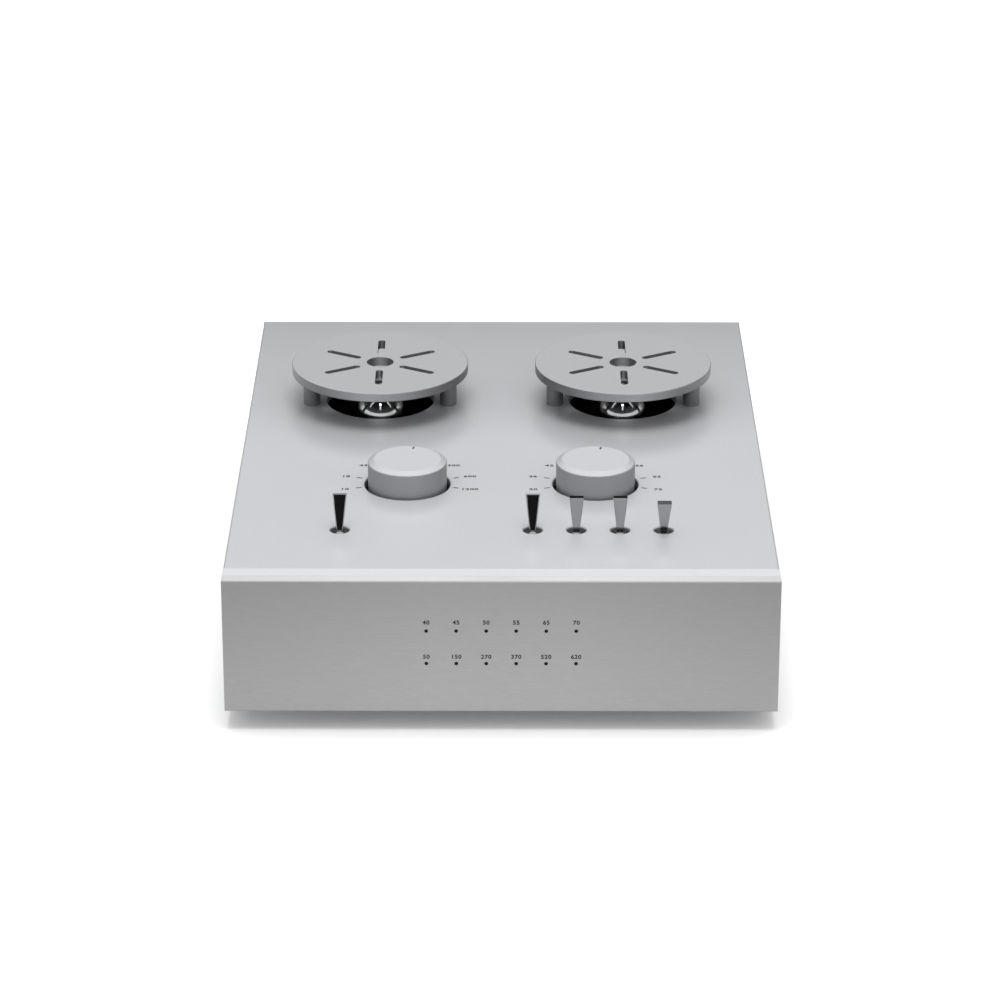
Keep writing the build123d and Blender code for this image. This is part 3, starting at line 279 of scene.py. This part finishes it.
def brushed_aluminium(name, grey, roughness):
    """Brushed along X: long fine streaks that widen each reflection up and down."""
    made = surface(name, [grey] * 3, roughness, METAL_SHARE, Anisotropic=0.55)
    streaks = noise(made, GRAINS_PER_METRE, detail=4.0, stretch=(0.1, 1.0, 1.0))
    vary_color(made, streaks, *darker_and_lighter([grey] * 3, by=0.035))
    # Painted light and shade: darker on walls, paler towards the foot, darker towards the ends.
    paint_shade_by_slope(made, FASCIA_SLOPES)
    rise = one_part(made, own_place(made), "Z")
    keep_share(made, lay_out(
        made, rise, (fascia_low.z, fascia_high.z), (FASCIA_FOOT_SHARE, FASCIA_TOP_SHARE)))
    reach = calculate(made, "ABSOLUTE", one_part(made, own_place(made), "X"))
    keep_share(made, lay_out(
        made, reach, (FASCIA_EVEN_SHARE * fascia_high.x, fascia_high.x), (1.0, FASCIA_END_SHARE)))
    level = calculate(made, "ABSOLUTE", normal_part(made, "Z"))
    vary_roughness(made, level, roughness, FASCIA_EDGE_ROUGHNESS)
    raise_bumps(made, streaks, strength=0.12)
    tangent = add(made, "Tangent", direction_type="RADIAL", axis="Z")
    link(made, tangent.outputs["Tangent"], principled(made).inputs["Tangent"])
    return made


def turned_aluminium(name, grey, roughness, centre):
    """Turned about centre: faint rings on the top and along the side."""
    made = surface(name, cool(grey), roughness, METAL_SHARE)
    rings = add(made, "TexWave", wave_type="RINGS", rings_direction="SPHERICAL")
    rings.inputs["Scale"].default_value = 620.0
    rings.inputs["Distortion"].default_value = 1.2
    link(made, own_place(made, centre), rings.inputs["Vector"])
    grain = noise(made, GRAINS_PER_METRE, detail=2.0)
    vary_color(made, grain, *darker_and_lighter(cool(grey), by=0.035))
    raise_bumps(made, rings.outputs["Fac"], strength=0.06, height=GRAIN_HEIGHT / 2)
    # Painted light and shade by slope, and painted shade on walls that face sideways.
    paint_shade_by_slope(made, DIAL_SLOPES)
    paint_shade_on_sides(made, *DIAL_SIDES)
    return made


def plain_metal(name, color, roughness, wear=0.06):
    """Smooth metal whose polish varies a little, as handling leaves it."""
    made = surface(name, color, roughness, 1.0)
    marks = noise(made, MARKS_PER_METRE, detail=5.0)
    vary_roughness(made, marks, roughness - wear / 2, roughness + wear / 2)
    raise_bumps(made, noise(made, RIPPLES_PER_METRE), strength=0.05)
    return made


def chrome(name):
    """Plated lever: a mirror, greyer than real chrome, with the faintest haze in places."""
    made = surface(name, (0.34, 0.34, 0.345), 0.03, 1.0)
    vary_roughness(made, noise(made, MARKS_PER_METRE, detail=5.0), 0.01, 0.05)
    vary_color(made, noise(made, 400.0), (0.33, 0.33, 0.335), (0.35, 0.35, 0.355))
    return made


def switch_body(name, rim_height):
    """Black moulded switches; their bushing is dark metal at its rim and black below it, as painted shade.
    """
    made = surface(name, (0.012, 0.012, 0.013), 0.22)
    above = calculate(made, "GREATER_THAN", one_part(made, own_place(made), "Z"), rim_height)
    link(made, above, principled(made).inputs["Metallic"])
    vary_color(made, above, (0.012, 0.012, 0.013), (0.10, 0.10, 0.102))
    raise_bumps(made, noise(made, RIPPLES_PER_METRE), strength=0.05)
    return made


# ---- Other materials ----------------------------------------------------------------------------
def coated(name, color, roughness, grain_scale=1800.0, strength=0.15, **inputs):
    """Moulded or painted surface with a fine texture."""
    made = surface(name, color, roughness, **inputs)
    grain = noise(made, grain_scale, detail=4.0)
    vary_color(made, noise(made, 120.0), *darker_and_lighter(color, by=0.12))
    vary_roughness(made, grain, roughness - 0.05, roughness + 0.05)
    raise_bumps(made, grain, strength, COATING_HEIGHT)
    return made


def clear_glass(name):
    made = surface(name, (0.97, 0.985, 0.98), 0.015, Transmission_Weight=1.0, IOR=1.5)
    vary_roughness(made, noise(made, 80.0), 0.005, 0.03)
    return made


def getter_film(name):
    """Silvery film inside the glass, browner in places."""
    made = surface(name, (0.50, 0.50, 0.51), 0.06, 1.0)
    vary_color(made, noise(made, 160.0, detail=2.0), (0.40, 0.39, 0.38), (0.56, 0.56, 0.57))
    vary_roughness(made, noise(made, 120.0), 0.04, 0.09)
    return made


def circuit_board(name):
    """Green solder mask over copper tracks."""
    made = surface(name, (0.02, 0.10, 0.05), 0.35, Coat_Weight=0.4, Coat_Roughness=0.15)
    tracks = add(made, "TexBrick")
    tracks.inputs["Scale"].default_value = 90.0
    tracks.inputs["Color1"].default_value = (0.015, 0.085, 0.04, 1.0)
    tracks.inputs["Color2"].default_value = (0.02, 0.11, 0.05, 1.0)
    tracks.inputs["Mortar"].default_value = (0.05, 0.2, 0.09, 1.0)
    tracks.inputs["Mortar Size"].default_value = 0.03
    link(made, own_place(made), tracks.inputs["Vector"])
    link(made, tracks.outputs["Color"], principled(made).inputs["Base Color"])
    raise_bumps(made, tracks.outputs["Fac"], strength=0.2, height=COATING_HEIGHT)
    return made


def wound_wire(name, centre):
    """Enamelled copper wire wound round a ring: ridges that run out from the ring's middle."""
    made = surface(name, (0.42, 0.16, 0.05), 0.3, 0.6, Coat_Weight=0.5, Coat_Roughness=0.1)
    place = own_place(made, centre)
    angle = calculate(made, "ARCTAN2", one_part(made, place, "Y"), one_part(made, place, "X"))
    ridges = calculate(made, "SINE", calculate(made, "MULTIPLY", angle, WINDING_RIDGES))
    vary_color(made, ridges, (0.25, 0.08, 0.02), (0.55, 0.24, 0.08))
    raise_bumps(made, ridges, strength=0.6, height=0.15 * MM)
    return made


def flat_cable(name):
    """Grey flat cable: one ridge to each conductor, side by side along X."""
    made = surface(name, (0.45, 0.45, 0.47), 0.45)
    ridges = add(made, "TexWave", bands_direction="X")
    ridges.inputs["Scale"].default_value = math.tau / (WAVE_RADIANS * CONDUCTOR_PITCH)
    link(made, own_place(made), ridges.inputs["Vector"])
    vary_color(made, ridges.outputs["Fac"], (0.30, 0.30, 0.32), (0.52, 0.52, 0.54))
    raise_bumps(made, ridges.outputs["Fac"], strength=0.7, height=0.2 * MM)
    return made


def jack_core(name, split_height):
    """Moulded insulators: the lower row red, the upper row white."""
    made = surface(name, (0.8, 0.8, 0.78), 0.35)
    above = calculate(made, "GREATER_THAN", one_part(made, own_place(made), "Z"), split_height)
    vary_color(made, above, (0.55, 0.02, 0.02), (0.82, 0.82, 0.8))
    raise_bumps(made, noise(made, 1500.0), strength=0.1)
    return made


# ---- Finish of every CAD node -------------------------------------------------------------------
# Below this depth the bushing is coloured black: painted shade in the hole.
BUSHING_RIM_DEPTH = 0.1 * MM


def dress(made, *names):
    """Gives CAD nodes one material in place of what they were packed with."""
    for name in names:
        for slot in nodes[name].material_slots:
            slot.material = made


def dress_case():
    case = blasted_aluminium("case_satin", 0.60, 0.35)
    paint_shade_by_slope(case, CASE_SLOPES)
    # Painted shade: the cover grows darker from its middle to the rear.
    depth = one_part(case, own_place(case), "Y")
    keep_share(case, lay_out(case, depth, (middle("top_cover").y, cover_high.y), (1.0, COVER_REAR_SHARE)))
    dress(case, "top_cover", "rear_panel")
    strip = blasted_aluminium("frame_satin", 0.675, 0.50)
    paint_shade_by_slope(strip, FRAME_SLOPES)
    dress(strip, "front_frame")
    dress(brushed_aluminium("fascia_brushed", 0.815, 0.34), "front_fascia")
    dress(plain_metal("base_zinc", (0.72, 0.73, 0.75), 0.45), "base_plate", "control_bracket")
    rubber = coated("foot_rubber", (0.018, 0.018, 0.018), 0.75, grain_scale=1200.0, strength=0.3)
    dress(rubber, "feet")


def dress_valves():
    shade = blasted_aluminium("shade_satin", 0.45, 0.42)
    # Painted shade on the discs' undersides and on the sides of their rims.
    paint_shade_by_slope(shade, SHADE_SLOPES)
    paint_shade_on_sides(shade, *SHADE_SIDES)
    dress(shade, "tube_shade_left", "tube_shade_right")
    # The posts are a far darker grey than the other aluminium: painted shade under the discs.
    dress(blasted_aluminium("post_satin", 0.165, 0.35), "shade_posts")
    dress(clear_glass("tube_glass"), "tube_glass_left", "tube_glass_right")
    dress(plain_metal("tube_metal", (0.22, 0.22, 0.23), 0.4), "tube_electrodes", "tube_pins")
    ceramic = coated("socket_ceramic", (0.80, 0.78, 0.72), 0.25, grain_scale=700.0, strength=0.05)
    dress(ceramic, "tube_sockets")


def dress_controls():
    for side in ("left", "right"):
        dial = f"dial_{side}"
        dress(turned_aluminium(f"dial_turned_{side}", 0.57, 0.46, middle(dial)), dial)
    levers = [f"{name}_lever" for name in ("power", "impedance", "capacitance", "gain", "subsonic")]
    dress(chrome("lever_chrome"), *levers)
    rim_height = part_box("toggle_housings")[1].z - BUSHING_RIM_DEPTH
    dress(switch_body("toggle_body", rim_height), "toggle_housings")
    switches = ["rotary_housings", "switch_nuts", "rotary_shaft_left", "rotary_shaft_right"]
    dress(plain_metal("switch_nickel", (0.70, 0.70, 0.71), 0.22), *switches)
    lens = coated(
        "light_lens", (0.004, 0.004, 0.004), 0.5, grain_scale=1500.0, strength=0.05, Specular_IOR_Level=0.1)
    dress(lens, "gain_lights", "capacitance_lights")
    dress(coated("light_emitter", (0.75, 0.75, 0.65), 0.4), "light_emitters")


def dress_small_metal():
    dress(plain_metal("screw_black", (0.10, 0.10, 0.105), 0.4), "case_screws")
    bright = ["fascia_screws", "foot_screws", "shade_screws", "board_screws"]
    bright += ["dial_set_screw_left", "dial_set_screw_right"]
    dress(plain_metal("screw_bright", (0.62, 0.62, 0.64), 0.28), *bright)
    plain = ["corner_posts", "bracket_pillars", "board_standoffs", "heat_sinks"]
    dress(plain_metal("post_plain", (0.60, 0.60, 0.62), 0.35), *plain)


def dress_boards():
    dress(circuit_board("solder_mask"), "main_board", "control_board", "light_board")
    black = ["jack_housings", "ribbon_headers", "chips", "relays", "regulators", "power_inlet"]
    dress(coated("black_moulding", (0.02, 0.02, 0.021), 0.45), *black)
    sleeve = coated("can_sleeve", (0.02, 0.022, 0.04), 0.3, grain_scale=500.0, strength=0.04)
    dress(sleeve, "can_capacitors")
    film_case = coated("film_case", (0.45, 0.03, 0.02), 0.3, grain_scale=900.0, strength=0.06)
    dress(film_case, "film_capacitors")
    dress(wound_wire("inductor_winding", middle("inductor")), "inductor")
    dress(flat_cable("ribbon_grey"), "ribbon_cables")
    gold = ["jack_shells", "jack_contacts", "ground_post", "ground_washer", "ground_nut"]
    dress(plain_metal("gold_plate", (0.85, 0.62, 0.25), 0.2), *gold)
    dress(jack_core("jack_core", middle("jack_insulators").z), "jack_insulators")


# ---- Printed marks ------------------------------------------------------------------------------
PRINT_DEPTH = 0.03 * MM
# How much fatter the figures are than the plain typeface, as a share of their height.
PRINT_WEIGHT = 0.035
PRINT_SPACING = 1.12
CAPITAL_SHARE = 0.72
BAR_END_STEPS = 6


def as_piece(name, mesh, material, body):
    made = bpy.data.objects.new(name, mesh)
    bpy.context.scene.collection.objects.link(made)
    mesh.materials.clear()
    mesh.materials.append(material)
    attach(made, body)


def join_meshes(name, placed):
    """One mesh from (mesh, matrix) pairs."""
    joined = bmesh.new()
    for mesh, matrix in placed:
        before = len(joined.verts)
        joined.from_mesh(mesh)
        joined.verts.ensure_lookup_table()
        bmesh.ops.transform(joined, matrix=matrix, verts=joined.verts[before:])
    mesh = bpy.data.meshes.new(name)
    joined.to_mesh(mesh)
    joined.free()
    return mesh


def word_mesh(word, digit_height, widen):
    """Solid figures in the XY plane, exactly digit_height high, centred on the origin, facing +Z."""
    curve = bpy.data.curves.new(f"word_{word}", "FONT")
    curve.body = word
    curve.align_x = "CENTER"
    curve.align_y = "CENTER"
    curve.size = digit_height / CAPITAL_SHARE
    curve.extrude = PRINT_DEPTH / 2
    curve.resolution_u = 4
    curve.offset = digit_height * PRINT_WEIGHT
    curve.space_character = PRINT_SPACING
    text = bpy.data.objects.new(f"word_{word}", curve)
    bpy.context.scene.collection.objects.link(text)
    bpy.context.view_layer.update()
    mesh = bpy.data.meshes.new_from_object(text.evaluated_get(bpy.context.evaluated_depsgraph_get()))
    bpy.data.objects.remove(text)
    tops = [corner.co.y for corner in mesh.vertices]
    fit = digit_height / (max(tops) - min(tops))
    mesh.transform(Matrix.Diagonal((fit * widen, fit, 1.0, 1.0)))
    return mesh


def bar_mesh(length, width):
    """Thin bar with round ends along X in the XY plane."""
    made = bmesh.new()
    across = width / 2
    outline = []
    for end, half_turn in ((1, 0.0), (-1, math.pi)):
        for step in range(BAR_END_STEPS + 1):
            turn = math.pi * (step / BAR_END_STEPS - 0.5) + half_turn
            outline.append((end * (length / 2 - across) + across * math.cos(turn), across * math.sin(turn)))
    low = [made.verts.new((x, y, -PRINT_DEPTH / 2)) for x, y in outline]
    high = [made.verts.new((x, y, PRINT_DEPTH / 2)) for x, y in outline]
    made.faces.new(high)
    made.faces.new(list(reversed(low)))
    for here in range(len(outline)):
        after = (here + 1) % len(outline)
        made.faces.new((low[here], low[after], high[after], high[here]))
    mesh = bpy.data.meshes.new("bar")
    made.to_mesh(mesh)
    made.free()
    return mesh


FASCIA_DIGIT_HEIGHT = 1.75 * MM
FASCIA_DIGIT_WIDEN = 1.05
FASCIA_NUMBER_RISE = {"gain_lights": 3.45 * MM, "capacitance_lights": 2.76 * MM}
FASCIA_NUMBERS = {
    "gain_lights": ["40", "45", "50", "55", "65", "70"],
    "capacitance_lights": ["50", "150", "270", "370", "520", "620"],
}


def print_fascia(ink):
    """A number over each indicator light."""
    upright = Matrix.Rotation(math.pi / 2, 4, "X")
    for row, numbers in FASCIA_NUMBERS.items():
        low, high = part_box(row)
        pipe_radius = (high.z - low.z) / 2
        first_x, last_x = low.x + pipe_radius, high.x - pipe_radius
        z = middle(row).z + FASCIA_NUMBER_RISE[row]
        placed = []
        for index, number in enumerate(numbers):
            x = first_x + (last_x - first_x) * index / (len(numbers) - 1)
            place = Matrix.Translation((x, fascia_low.y - PRINT_DEPTH / 2, z))
            placed.append((word_mesh(number, FASCIA_DIGIT_HEIGHT, FASCIA_DIGIT_WIDEN), place @ upright))
        name = f"print_{row}"
        as_piece(name, join_meshes(name, placed), ink, "chassis")


DIAL_FIRST_ANGLE = 195.0
DIAL_STEP_ANGLE = -30.0
DIAL_DIGIT_HEIGHT = 1.9 * MM
DIAL_DIGIT_WIDEN = 1.25
DIAL_TICK_INNER = 18.7 * MM
DIAL_TICK_OUTER = 21.1 * MM
DIAL_TICK_WIDTH = 0.6 * MM
DIAL_SCALE_SHIFT = Vector((0.0, 1.0 * MM, 0.0))
DIAL_NUMBER_RADIUS = 25.6 * MM
DIAL_NUMBERS = {
    "left": ["10", "18", "43", "75", "150", "300", "600", "1200"],
    "right": ["30", "36", "42", "47", "50", "56", "65", "75"],
}


def outward_at(angle):
    return Vector((math.cos(angle), math.sin(angle), 0.0))


def print_dial_scales(ink):
    """A tick and a number at each step of a dial."""
    for side, numbers in DIAL_NUMBERS.items():
        centre = middle(f"dial_{side}") + DIAL_SCALE_SHIFT
        centre.z = cover_high.z + PRINT_DEPTH / 2
        placed = []
        for index, number in enumerate(numbers):
            turn = math.radians(DIAL_FIRST_ANGLE + index * DIAL_STEP_ANGLE)
            tick_place = centre + outward_at(turn) * (DIAL_TICK_INNER + DIAL_TICK_OUTER) / 2
            tick = bar_mesh(DIAL_TICK_OUTER - DIAL_TICK_INNER, DIAL_TICK_WIDTH)
            placed.append((tick, Matrix.Translation(tick_place) @ Matrix.Rotation(turn, 4, "Z")))
            number_place = Matrix.Translation(centre + outward_at(turn) * DIAL_NUMBER_RADIUS)
            placed.append((word_mesh(number, DIAL_DIGIT_HEIGHT, DIAL_DIGIT_WIDEN), number_place))
        name = f"print_dial_scale_{side}"
        as_piece(name, join_meshes(name, placed), ink, "chassis")


POINTER_ANGLE = math.radians(79.0)
POINTER_INNER = 10.3 * MM
POINTER_OUTER = 12.7 * MM
POINTER_WIDTH = 0.5 * MM
POINTER_SINK = 0.28 * MM


def fill_pointers(ink):
    """Black paint at the bottom of the groove in each dial's top."""
    for side in ("left", "right"):
        place = middle(f"dial_{side}") + outward_at(POINTER_ANGLE) * (POINTER_INNER + POINTER_OUTER) / 2
        place.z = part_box(f"dial_{side}")[1].z - POINTER_SINK
        bar = bar_mesh(POINTER_OUTER - POINTER_INNER, POINTER_WIDTH)
        bar.transform(Matrix.Translation(place) @ Matrix.Rotation(POINTER_ANGLE, 4, "Z"))
        as_piece(f"dial_pointer_fill_{side}", bar, ink, f"{side}_dial")


# ---- Getter mirror inside each valve ------------------------------------------------------------
LATHE_SEGMENTS = 96
GLASS_WALL = 0.9 * MM
GETTER_GAP = 0.05 * MM
GETTER_THICKNESS = 0.05 * MM
GETTER_REACH = math.radians(82.0)
GETTER_STEPS = 24
# The pip on top of the glass.
NUB_HEIGHT = 3.2 * MM


def lathe(name, profile, centre):
    """Closed solid of revolution about the upright axis through centre, from a loop of (radius, z)."""
    made = bmesh.new()
    rings = []
    for radius, z in profile:
        on_axis = radius < 1e-9
        ring = []
        for step in range(1 if on_axis else LATHE_SEGMENTS):
            turn = math.tau * step / LATHE_SEGMENTS
            x = centre.x + radius * math.cos(turn)
            y = centre.y + radius * math.sin(turn)
            ring.append(made.verts.new((x, y, z)))
        rings.append(ring)
    for here, after in zip(rings, rings[1:] + rings[:1]):
        if len(here) == 1 and len(after) == 1:
            continue
        for step in range(LATHE_SEGMENTS):
            turned = (step + 1) % LATHE_SEGMENTS
            corners = (
                here[step % len(here)], here[turned % len(here)],
                after[turned % len(after)], after[step % len(after)],
            )
            made.faces.new(list(dict.fromkeys(corners)))
    bmesh.ops.recalc_face_normals(made, faces=made.faces)
    mesh = bpy.data.meshes.new(name)
    made.to_mesh(mesh)
    made.free()
    for polygon in mesh.polygons:
        polygon.use_smooth = True
    return mesh


def add_getter_mirrors():
    film = getter_film("getter_mirror")
    for side in ("left", "right"):
        low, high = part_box(f"tube_glass_{side}")
        glass_radius = (high.x - low.x) / 2
        dome_z = high.z - NUB_HEIGHT - glass_radius
        outer = glass_radius - GLASS_WALL - GETTER_GAP
        inner = outer - GETTER_THICKNESS
        angles = [GETTER_REACH * step / GETTER_STEPS for step in range(GETTER_STEPS + 1)]
        profile = [(outer * math.sin(a), dome_z + outer * math.cos(a)) for a in angles]
        profile += [(inner * math.sin(a), dome_z + inner * math.cos(a)) for a in reversed(angles)]
        name = f"getter_mirror_{side}"
        as_piece(name, lathe(name, profile, middle(f"tube_glass_{side}")), film, "chassis")


# ---- Studio -------------------------------------------------------------------------------------
def make_floor():
    """Light table: pale, and faintly lit from below."""
    half = FLOOR_HALF_WIDTH
    mesh = bpy.data.meshes.new("floor")
    corners = [(-half, -half, 0), (half, -half, 0), (half, half, 0), (-half, half, 0)]
    mesh.from_pydata(corners, [], [(0, 1, 2, 3)])
    floor = bpy.data.objects.new("floor", mesh)
    bpy.context.scene.collection.objects.link(floor)
    table = surface("floor_pale", FLOOR_COLOR, 0.9, Emission_Strength=FLOOR_GLOW)
    principled(table).inputs["Emission Color"].default_value = (1.0, 1.0, 1.0, 1.0)
    mesh.materials.append(table)


def make_world():
    """Studio room, by the direction that is looked in."""
    world = bpy.data.worlds.new("studio")
    bpy.context.scene.world = world
    world.use_nodes = True
    background = world.node_tree.nodes["Background"]
    background.inputs["Strength"].default_value = SKY_STRENGTH
    direction = add(world, "TexCoord").outputs["Generated"]
    height = one_part(world, direction, "Z")
    behind = lay_out(world, one_part(world, direction, "Y"), SKY_TURN, interpolation="SMOOTHSTEP")
    blend = add(world, "Mix")
    link(world, behind, blend.inputs["Factor"])
    for socket, sky in (("A", SKY_BEFORE), ("B", SKY_BEHIND)):
        points = [(sine, [grey] * 3) for sine, grey in sky]
        link(world, color_ramp(world, height, points, "EASE"), blend.inputs[socket])
    link(world, blend.outputs["Result"], background.inputs["Color"])


def make_softbox():
    """Overhead light that shades the object; its mirror image would glare on the cover, so it has none."""
    light = bpy.data.lights.new("softbox", "AREA")
    light.shape = "SQUARE"
    light.size = SOFTBOX_SIZE
    light.energy = SOFTBOX_POWER
    lamp = bpy.data.objects.new("softbox", light)
    bpy.context.scene.collection.objects.link(lamp)
    lamp.location = SOFTBOX_PLACE
    lamp.visible_glossy = False
    lamp.rotation_mode = "QUATERNION"
    lamp.rotation_quaternion = (-SOFTBOX_PLACE).to_track_quat("-Z", "Y")


def make_camera():
    camera = bpy.data.cameras.new("camera")
    camera.lens = CAMERA_LENS_MM
    camera.sensor_width = SENSOR_WIDTH_MM
    camera.clip_end = 50.0
    eye = bpy.data.objects.new("camera", camera)
    bpy.context.scene.collection.objects.link(eye)
    turn = Matrix.Rotation(-CAMERA_YAW, 4, "Z") @ Matrix.Rotation(math.pi / 2 - CAMERA_PITCH, 4, "X")
    eye.matrix_world = Matrix.Translation(CAMERA_PLACE) @ turn @ Matrix.Rotation(CAMERA_ROLL, 4, "Z")
    bpy.context.scene.camera = eye


# ---- The whole scene ----------------------------------------------------------------------------
dress_case()
dress_valves()
dress_controls()
dress_small_metal()
dress_boards()

black_ink = coated(
    "print_ink", (0.004, 0.004, 0.004), 0.6, grain_scale=2500.0, strength=0.1, Specular_IOR_Level=0.15)
print_fascia(black_ink)
print_dial_scales(black_ink)
fill_pointers(black_ink)
add_getter_mirrors()

make_floor()
make_world()
make_softbox()
make_camera()
bpy.context.scene.view_settings.view_transform = "Standard"
